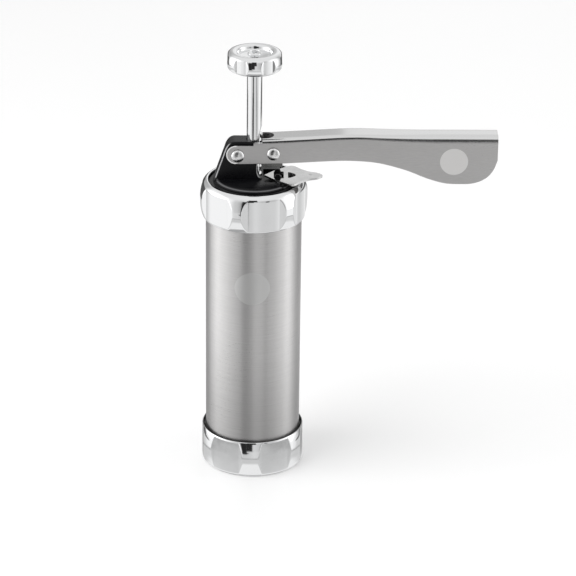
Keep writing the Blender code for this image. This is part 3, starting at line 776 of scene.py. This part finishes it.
LEVER_UNDERSIDE = [
    (-18.0, 184.4), (-9.2, 184.5), (16.0, 185.15), (47.7, 186.95), (61.0, 186.65),
    (71.0, 185.35), (85.1, 181.35), (96.0, 176.9), (106.0, 174.0), (115.0, 173.5),
    (122.7, 174.1), (129.2, 177.1), (133.2, 181.9), (135.3, 187.6),
]
LEVER_CREST = [
    (-18.0, 198.9), (5.0, 199.25), (25.0, 200.35), (47.5, 201.8), (58.5, 202.1),
    (72.0, 201.9), (86.0, 201.8), (103.0, 201.95), (135.3, 202.05),
]


def lever_section(x):
    """The channel's outline at one station: over the outside, then back along the inside."""
    low = smooth_value(LEVER_UNDERSIDE, x / MM) * MM
    top = smooth_value(LEVER_CREST, x / MM) * MM
    grip = min(1.0, max(0.0, (x / MM - 60.0) / 40.0))
    corner = (2.6 + 1.6 * grip) * MM
    inner = LEVER_HALF - SHEET
    mid_y = LEVER_HALF - corner
    lip = 0.42 * MM
    half = [(inner, low + lip * 0.4), (inner + lip * 0.4, low), (LEVER_HALF - lip, low),
            (LEVER_HALF - lip * 0.3, low + lip * 0.3), (LEVER_HALF, low + lip)]
    half += arc(mid_y, top - corner, corner, 0.0, 90.0, 12)
    back = arc(mid_y, top - corner, corner - SHEET, 90.0, 0.0, 8)
    outside = half + [(-y, z) for y, z in reversed(half)]
    inside = [(-y, z) for y, z in reversed(back)] + back
    return outside + inside


def make_lever():
    stations = [-17.0 + 2.0 * i for i in range(9)]
    stations += [3.0 + 2.0 * i for i in range(61)]
    stations += [124.5, 126.0, 127.3, 128.6, 129.8, 130.8, 131.7, 132.5, 133.2, 133.8, 134.3,
                 134.8, 135.3]
    bm = bmesh.new()
    rings = [[bm.verts.new((x * MM, y, z)) for y, z in lever_section(x * MM)] for x in stations]
    count = len(rings[0])
    for a, b in zip(rings, rings[1:]):
        for i in range(count):
            j = (i + 1) % count
            bm.faces.new((a[i], b[i], b[j], a[j]))
    for ring in (rings[0], rings[-1]):
        bmesh.ops.triangulate(bm, faces=[bm.faces.new(ring)])
    rear = arc(REAR_X / MM, REAR_Z / MM, REAR_R / MM, 90.0, 270.0, 40)
    trim = [(4.5, 215.0), (4.5, 197.2), (-0.4, 197.2), (-0.4, 195.6)]
    trim += rear + [(REAR_X / MM, 150.0), (-40.0, 150.0), (-40.0, 215.0)]
    slot_half, slot_end = 4.75, 6.25
    slot = [(0.0, -slot_half)] + arc(slot_end, 0.0, slot_half, -90.0, 90.0, 32)
    slot.append((0.0, slot_half))
    steps = [
        ("DIFFERENCE", prism(scaled(trim), -12.0 * MM, 12.0 * MM)),
        ("DIFFERENCE", prism(scaled(slot), 196.5 * MM, 215.0 * MM, "Z")),
        ("DIFFERENCE", cross_cylinder(RIVET_BORE_R, 12.0 * MM, LEVER_PIVOT)),
        ("DIFFERENCE", cross_cylinder(RIVET_BORE_R, 12.0 * MM, PAWL_PIVOT)),
    ]
    bm = carved(bm, steps, bevel=0.28 * MM, bevel_steps=3, bevel_angle=62.0)
    return link("lever_channel", bm, "lever", "lever", LEVER_STEEL,
                smooth_angle=38.0)


def make_rivet(name, node, place):
    """A rivet with polished domed heads outside both cheeks."""
    shank_r, head_r = 2.0 * MM, 3.65 * MM
    seat = LEVER_HALF + 0.3 * MM
    edge = 0.12 * MM
    height = 1.8 * MM
    dome = [(head_r - 0.15 * MM, seat), (head_r, seat + edge)]
    steps = 15
    for i in range(1, steps):
        a = math.radians(90.0 * i / steps)
        dome.append((head_r * math.cos(a), seat + edge + (height - edge) * math.sin(a)))
    dome.append((0.0, seat + height))
    upper = [(shank_r, seat)] + dome
    lower = [(a, -b) for a, b in reversed(upper)]
    turn = Matrix.Translation((place.x, 0.0, place.z)) @ Matrix.Rotation(-math.pi / 2, 4, "X")
    bm = turned(lower + upper, 72, turn=turn)
    return link(name, bm, "lever", node, RIVET, smooth_angle=50.0)


# ---------------------------------------------------------------- pawls and springs

def make_drive_pawl():
    eye = arc(PAWL_PIVOT.x / MM, PAWL_PIVOT.z / MM, 4.2, 0.0, 180.0, 28)
    outline = scaled([(4.75, 183.1), (5.6, 182.4), (15.8, 182.4), (15.8, 184.8)] + eye
                     + [(4.6, 185.4)])
    inside, outside, floor_top = 4.4 * MM, 5.4 * MM, 183.6 * MM
    steps = [
        ("DIFFERENCE", block(0.0, 20.0 * MM, -inside, inside, floor_top, 200.0 * MM)),
        ("DIFFERENCE", cross_cylinder(RIVET_BORE_R, 8.0 * MM, PAWL_PIVOT)),
    ]
    bm = carved(prism(outline, -outside, outside), steps, bevel=0.22 * MM, bevel_steps=3,
                bevel_angle=50.0)
    return link("drive_pawl_pressing", bm, "drive_pawl", "drive_pawl", PAWL_STEEL)


def make_drive_spring():
    x, z = PAWL_PIVOT.x, PAWL_PIVOT.z
    r = 2.85 * MM
    points = torsion_coil(PAWL_PIVOT, r, half=1.9 * MM, turns=4.75, start=90.0,
                          first_leg=(x + 6.0 * MM, z + r),
                          last_leg=(x - 0.2 * MM, z - r - 2.0 * MM))
    return link("drive_pawl_coil", wire(points, WIRE_R), "lever", "drive_pawl_spring",
                SPRING, weighted=False)


def make_release_plate():
    top = 175.6 * MM
    low = top - SHEET
    half = [(5.8, 0.0), (8.4, 3.1), (11.0, 6.2), (13.6, 8.5), (18.4, 12.7), (19.8, 13.7),
            (21.2, 14.0), (22.6, 13.5), (24.2, 11.9), (26.2, 9.4), (28.4, 7.3), (31.0, 5.5),
            (33.8, 4.4), (35.8, 3.5), (37.4, 1.9), (38.15, 0.7)]
    near = [(x, -y) for x, y in reversed(half[1:])]
    outline = half[:4] + spline(half[4:] + near[:-3], 4) + near[-3:]
    outline = scaled(outline)
    window = fillet(scaled([(11.0, -5.1), (16.6, -5.1), (16.6, 5.1), (11.0, 5.1)]), 0.6 * MM)
    slot = fillet(scaled([(19.0, -4.3), (20.3, -4.0), (23.0, -1.5), (23.4, 0.0), (23.0, 1.5),
                          (20.3, 4.0), (19.0, 4.3)]), 0.6 * MM)
    ear = scaled([(11.6, 175.0)] + arc(13.5, 173.1, 1.9, 180.0, 360.0, 24) + [(15.4, 175.0)])
    dimple = bmesh.new()
    bmesh.ops.create_uvsphere(dimple, u_segments=24, v_segments=12, radius=1.5 * MM)
    dimple.transform(Matrix.Translation((31.3 * MM, 0.8 * MM, top + 1.15 * MM)))
    steps = [
        ("DIFFERENCE", prism(window, low - MM, top + MM, "Z")),
        ("DIFFERENCE", prism(slot, low - MM, top + MM, "Z")),
        ("DIFFERENCE", dimple),
    ]
    ear_in, ear_out = 5.2 * MM, 6.2 * MM
    for side in (-1.0, 1.0):
        y0, y1 = sorted((side * ear_in, side * ear_out))
        steps.append(("UNION", prism(ear, y0, y1)))
    steps.append(("DIFFERENCE", cross_cylinder(PIN_BORE_R, 8.0 * MM, RELEASE_PIVOT)))
    bm = carved(prism(outline, low, top, "Z"), steps, bevel=0.16 * MM, bevel_steps=2,
                bevel_angle=50.0)
    return link("release_plate_pressing", bm, "release_plate", "release_plate",
                BARE)


def make_release_pin():
    pin_r, pin_half = 0.95 * MM, 6.6 * MM
    outline = arc(0.0, 0.0, pin_r, 0.0, 360.0, 40)[:-1]
    outline = [(RELEASE_PIVOT.x + a, RELEASE_PIVOT.z + b) for a, b in outline]
    bm = prism(outline, -pin_half, pin_half, edge=0.2 * MM, edge_steps=3)
    return link("release_hinge_pin", bm, "press_body", "release_pin", BARE)


def make_release_spring():
    points = torsion_coil(RELEASE_PIVOT, 1.75 * MM, half=2.5 * MM, turns=6.0, start=-90.0,
                          first_leg=(11.1 * MM, 171.1 * MM), last_leg=(19.0 * MM, 173.9 * MM))
    return link("release_plate_coil", wire(points, WIRE_R), "press_body", "release_spring",
                SPRING, weighted=False)


# ---------------------------------------------------------------- rod, knob and piston

def make_rod():
    """The rod with ratchet teeth milled down its +X side.

    Each row is (radius, height, how far +X the rod reaches there), and full is uncut.
    """
    full = 2.0 * ROD_R
    shoulder = 50.8 * MM
    rows = [(ROD_NECK_R - 0.5 * MM, ROD_LOW.z, full),
            (ROD_NECK_R - 0.15 * MM, ROD_LOW.z + 0.15 * MM, full),
            (ROD_NECK_R, ROD_LOW.z + 0.5 * MM, full), (ROD_NECK_R, shoulder, full),
            (ROD_R - 0.2 * MM, shoulder + 0.02 * MM, full),
            (ROD_R, shoulder + 0.2 * MM, full)]
    for k in range(TEETH):
        ledge = TEETH_TOP - (TEETH - k) * TOOTH_PITCH
        rows.append((ROD_R, ledge - 0.12 * MM, ROD_R - 0.02 * MM))
        rows.append((ROD_R, ledge + 0.02 * MM, ROD_R - 0.15 * MM))
        rows.append((ROD_R, ledge + 0.22 * MM, ROD_NECK_R + 0.05 * MM))
        rows.append((ROD_R, ledge + 0.40 * MM, ROD_NECK_R))
    socket_r, socket_floor = 2.3 * MM, 229.0 * MM
    rows += [(ROD_R, TEETH_TOP, ROD_R), (ROD_R, ROD_HIGH.z - 0.5 * MM, full),
             (ROD_R - 0.15 * MM, ROD_HIGH.z - 0.15 * MM, full),
             (ROD_R - 0.5 * MM, ROD_HIGH.z, full),
             (socket_r, ROD_HIGH.z, full), (socket_r, socket_floor, full)]
    bm = bmesh.new()
    rings = []
    for r, z, reach in rows:
        rings.append([bm.verts.new((min(r * math.cos(a), reach), r * math.sin(a), z))
                      for a in even_angles(ROD_SIDES)])
    for a, b in zip(rings, rings[1:]):
        for i in range(ROD_SIDES):
            j = (i + 1) % ROD_SIDES
            bm.faces.new((a[i], a[j], b[j], b[i]))
    bm.faces.new(list(reversed(rings[0])))
    bm.faces.new(rings[-1])
    return link("toothed_rod", bm, "rod", "piston_rod", CHROME, smooth_angle=30.0)


def make_knob():
    side = spline(scaled([(12.4, 238.5), (13.9, 238.75), (15.0, 239.8), (15.6, 241.4),
                          (15.8, 243.4), (15.65, 245.4), (15.15, 247.2), (14.2, 248.4),
                          (13.0, 248.95), (11.6, 249.0), (10.4, 248.75), (9.75, 248.0),
                          (9.45, 247.1), (9.0, 246.5), (8.2, 246.3)]), 4)
    screw_hole, rod_bore = 2.4, 4.55
    inner = fillet(scaled([(screw_hole, 246.3), (screw_hole, 242.6), (rod_bore, 242.6),
                           (rod_bore, 238.5)]), 0.15 * MM, 2)
    radius = scalloped(centre=-60.0, flat=11.0, edge=22.0, floor=14.9 * MM, core=14.0 * MM)
    return link("knob_fluted", turned(side + inner, SCALLOPED_SIDES, radius), "rod", "knob",
                CHROME, smooth_angle=60.0)


def make_knob_screw():
    outline = fillet(scaled([(2.0, 231.0), (2.0, 246.6), (4.0, 246.6), (4.0, 247.7),
                             (3.2, 248.6)]), 0.3 * MM, 4)
    outline = [(0.0, 231.0 * MM)] + outline + [(0.0, 248.6 * MM)]
    socket = turned(scaled([(0.0, 246.8), (1.9, 247.0), (1.9, 250.0), (0.0, 250.0)]), 6)
    bm = carved(turned(outline, 72), [("DIFFERENCE", socket)], bevel=0.1 * MM, bevel_steps=2,
                bevel_angle=50.0)
    return link("knob_socket_screw", bm, "rod", "knob_screw", CHROME)


def make_piston_set():
    piston = fillet(scaled([
        (3.2, 45.0), (8.2, 45.0), (8.2, 41.6), (9.0, 41.0), (24.8, 41.0), (25.75, 42.0),
        (25.75, 43.6), (23.6, 43.6), (23.6, 47.0), (25.75, 47.0), (25.75, 50.0), (24.4, 50.0),
        (23.0, 48.0), (9.5, 48.0), (8.0, 50.5), (3.2, 50.5)]), 0.35 * MM, 3)
    link("piston_moulding", turned(piston, 192), "rod", "piston", WHITE)
    ring = scaled(arc(24.9, 45.3, 1.02, 0.0, 360.0, 24)[:-1])
    link("piston_seal_ring", turned(ring, 192), "rod", "piston_seal", SEAL,
         weighted=False)
    washer = fillet(scaled([(3.2, 44.0), (7.2, 44.0), (7.2, 44.7), (3.2, 44.7)]), 0.12 * MM, 2)
    link("piston_flat_washer", turned(washer, 96), "rod", "piston_washer", BARE)
    nut_r = 5.75 * MM
    hexagon = [(nut_r * math.cos(a), nut_r * math.sin(a)) for a in even_angles(6)]
    bore = turned(scaled([(0.0, 39.0), (3.2, 39.0), (3.2, 46.0), (0.0, 46.0)]), 64)
    nut = carved(prism(hexagon, 41.1 * MM, 43.7 * MM, "Z"), [("DIFFERENCE", bore)],
                 bevel=0.15 * MM, bevel_steps=2, bevel_angle=50.0)
    link("piston_hex_nut", nut, "rod", "piston_nut", BARE)


make_barrel()
make_upper_collar()
make_lower_collar()
make_forming_disc()
make_head()
make_lever()
make_rivet("lever_pivot_rivet", "lever_rivet", LEVER_PIVOT)
make_rivet("pawl_pivot_rivet", "pawl_rivet", PAWL_PIVOT)
make_drive_pawl()
make_drive_spring()
make_release_plate()
make_release_pin()
make_release_spring()
make_rod()
make_knob()
make_knob_screw()
make_piston_set()


# ---------------------------------------------------------------- floor, light and camera

def make_floor():
    """A wide pale floor just under the press, which the press doesn't mirror."""
    bm = bmesh.new()
    bmesh.ops.create_grid(bm, x_segments=1, y_segments=1, size=8.0)
    mesh = bpy.data.meshes.new("studio_floor")
    bm.to_mesh(mesh)
    bm.free()
    floor = bpy.data.objects.new("studio_floor", mesh)
    floor.location = (0.0, 0.0, -0.1 * MM)
    bpy.context.scene.collection.objects.link(floor)
    m = Nodes("pale_floor", (0.96, 0.96, 0.96), 0.35, 0.0, Emission_Color=(1.0, 1.0, 1.0, 1.0),
              Emission_Strength=0.05)
    mesh.materials.append(m.mat)
    floor.visible_glossy = False


# The studio that the press mirrors. A turn is in degrees from the camera's side, positive
# towards +X. A height is the sine of an elevation: seen from the camera, upright walls mirror
# about -0.34 on the knob, -0.354 on the rod, -0.39 on the upper collar, -0.40 to -0.46 on the
# barrel and -0.466 on the lower collar.

# Brightness round the studio's sides, as (turn, level).
STUDIO_RING = [
    (-180, 0.62), (-160, 0.44), (-135, 0.50), (-112, 1.30), (-93, 2.35), (-72, 1.60),
    (-55, 1.05), (-38, 0.66), (-24, 0.44), (-8, 0.50), (4, 0.72), (22, 0.56), (45, 0.60),
    (70, 1.15), (90, 2.15), (106, 1.10), (122, 0.50), (145, 0.80), (165, 1.0), (180, 0.9),
]
RING_PEAK = max(level for turn, level in STUDIO_RING)

# Dark upright gaps: (turn from, to, soft edge), (height from, to, soft edge), darkness.
ROD_BAND = (-0.37, -0.351, 0.004)
GAPS = [
    ((-23.5, -13.5, 4.5), (-0.37, 0.50, 0.035), 1.0),
    ((-12.0, -1.0, 2.5), (-0.27, 0.70, 0.06), 1.0),
    ((-12.0, 7.0, 2.5), (0.05, 0.70, 0.06), 1.0),
    ((28.0, 32.0, 4.0), (-0.35, 0.30, 0.02), 0.8),
    ((-30.0, -9.0, 3.0), ROD_BAND, 1.0),
    ((34.0, 46.0, 4.0), ROD_BAND, 0.45),
]

# Dark rear, which edges the rod and the knob: (turn where it starts, where it is full),
# (height from, to, soft edge).
REAR_SHADES = [
    ((122.0, 128.0), (-0.355, 0.05, 0.015)),
    ((106.0, 116.0), ROD_BAND),
]
REAR_DARKNESS = 0.85
DARKEST = 0.95

# Brightness above and below: the table, its shade near the foot, the ceiling and its front.
TABLE, TABLE_SHADE, CEILING, FRONT_STRIP = 0.95, 0.42, 0.86, 0.90

# Heights over which the ring is evened out and then flattened, and meets table and ceiling.
EVENED, FLATTENED = (-0.334, -0.284), (-0.458, -0.446)
TABLE_EDGE, CEILING_EDGE = (-0.59, -0.53), (0.35, 0.75)


def make_world():
    """Bright sides with dark gaps, a pale ceiling and a pale table below."""
    world = bpy.data.worlds.new("studio")
    bpy.context.scene.world = world
    world.use_nodes = True
    tree = world.node_tree
    background = tree.nodes["Background"]
    coordinates = tree.nodes.new("ShaderNodeTexCoord")
    split = tree.nodes.new("ShaderNodeSeparateXYZ")
    tree.links.new(coordinates.outputs["Generated"], split.inputs[0])

    def feed(socket, value):
        if isinstance(value, (int, float)):
            socket.default_value = value
        else:
            tree.links.new(value, socket)

    def calc(operation, *values):
        node = tree.nodes.new("ShaderNodeMath")
        node.operation = operation
        for socket, value in zip(node.inputs, values):
            feed(socket, value)
        return node.outputs[0]

    def ease(value, low, high, to_low, to_high, kind="SMOOTHSTEP"):
        node = tree.nodes.new("ShaderNodeMapRange")
        node.interpolation_type = kind
        for key, number in zip(("Value", "From Min", "From Max", "To Min", "To Max"),
                               (value, low, high, to_low, to_high)):
            feed(node.inputs[key], number)
        return node.outputs["Result"]

    def blend(factor, a, b):
        """a where factor is 0, b where it is 1."""
        return calc("ADD", calc("MULTIPLY", a, calc("SUBTRACT", 1.0, factor)),
                    calc("MULTIPLY", b, factor))

    def band(value, low, high, soft):
        """1 between two limits, fading out over soft beyond each."""
        return calc("MULTIPLY", ease(value, low - soft, low, 0.0, 1.0),
                    ease(value, high, high + soft, 1.0, 0.0))

    height = split.outputs["Z"]
    front = calc("MULTIPLY", split.outputs["Y"], -1.0)
    turn = calc("MULTIPLY", calc("ARCTAN2", split.outputs["X"], front), 180.0 / math.pi)
    ramp = tree.nodes.new("ShaderNodeValToRGB")
    ramp.color_ramp.interpolation = "EASE"
    elements = ramp.color_ramp.elements
    while len(elements) < len(STUDIO_RING):
        elements.new(0.5)
    for element, (degrees, level) in zip(elements, STUDIO_RING):
        element.position = (degrees + 180.0) / 360.0
        grey = level / RING_PEAK
        element.color = (grey, grey, grey, 1.0)
    tree.links.new(ease(turn, -180.0, 180.0, 0.0, 1.0, "LINEAR"), ramp.inputs["Fac"])
    ring = calc("MULTIPLY", ramp.outputs["Color"], RING_PEAK)

    calm = calc("MINIMUM", calc("ADD", calc("MULTIPLY", ring, 0.45), 0.45), 1.05)
    calmer = calc("ADD", calc("MULTIPLY", ring, 0.05), 0.63)
    calm = blend(ease(height, *FLATTENED, 0.0, 1.0), calmer, calm)
    level = blend(ease(height, *EVENED, 0.0, 1.0), calm, ring)
    level = blend(ease(height, *TABLE_EDGE, 0.0, 1.0), TABLE, level)
    # A darker line that shades the top of the lower collar.
    line = calc("MULTIPLY", ease(height, -0.4675, -0.4630, 0.0, 0.60),
                ease(height, -0.459, -0.450, 1.0, 0.0))
    level = blend(line, level, 0.20)
    level = blend(band(height, -0.95, -0.82, 0.04), level, TABLE_SHADE)
    level = blend(ease(height, *CEILING_EDGE, 0.0, 1.0), level, CEILING)
    strip = calc("MULTIPLY", ease(height, 0.78, 0.88, 0.0, 1.0),
                 ease(front, 0.12, 0.30, 0.0, 1.0))
    level = blend(strip, level, FRONT_STRIP)

    shade = 0.0
    for turns, heights, darkness in GAPS:
        gap = calc("MULTIPLY", band(turn, *turns), band(height, *heights))
        shade = calc("MAXIMUM", shade, calc("MULTIPLY", gap, darkness))
    for (start, full), heights in REAR_SHADES:
        rear = ease(calc("ABSOLUTE", turn), start, full, 0.0, REAR_DARKNESS)
        shade = calc("MAXIMUM", shade, calc("MULTIPLY", rear, band(height, *heights)))
    light = calc("SUBTRACT", 1.0, calc("MULTIPLY", shade, DARKEST))
    feed(background.inputs["Strength"], calc("MULTIPLY", level, light))
    background.inputs["Color"].default_value = (1.0, 1.0, 1.0, 1.0)


def make_key_light():
    """A soft light from the upper left, which the press doesn't mirror."""
    data = bpy.data.lights.new("soft_key", "AREA")
    data.shape = "RECTANGLE"
    data.size, data.size_y = 0.9, 0.7
    data.energy = 6.5
    light = bpy.data.objects.new("soft_key", data)
    light.visible_glossy = False
    light.location = (-0.7, -0.35, 1.25)
    aim = Vector((0.0, 0.0, 0.1)) - light.location
    light.rotation_euler = aim.to_track_quat("-Z", "Y").to_euler()
    bpy.context.scene.collection.objects.link(light)


def make_camera():
    """The photograph's own view: its place, lens and tilt."""
    data = bpy.data.cameras.new("camera")
    data.sensor_width = 36.0
    data.lens = 180.47
    data.clip_start = 0.05
    data.clip_end = 20.0
    camera = bpy.data.objects.new("camera", data)
    place = Vector((0.0, -1.4957, 0.7866))
    pitch, yaw, roll = math.radians(24.46), 0.0132, 0.0119
    ahead = Vector((math.sin(yaw) * math.cos(pitch), math.cos(yaw) * math.cos(pitch),
                    -math.sin(pitch)))
    level_right = Vector((math.cos(yaw), -math.sin(yaw), 0.0))
    level_up = level_right.cross(ahead)
    right = math.cos(roll) * level_right + math.sin(roll) * level_up
    up = -math.sin(roll) * level_right + math.cos(roll) * level_up
    basis = Matrix((right, up, -ahead)).transposed().to_4x4()
    camera.matrix_world = Matrix.Translation(place) @ basis
    bpy.context.scene.collection.objects.link(camera)
    bpy.context.scene.camera = camera


make_floor()
make_world()
make_key_light()
make_camera()
bpy.context.scene.view_settings.view_transform = "Standard"
bpy.context.scene.view_settings.look = "None"
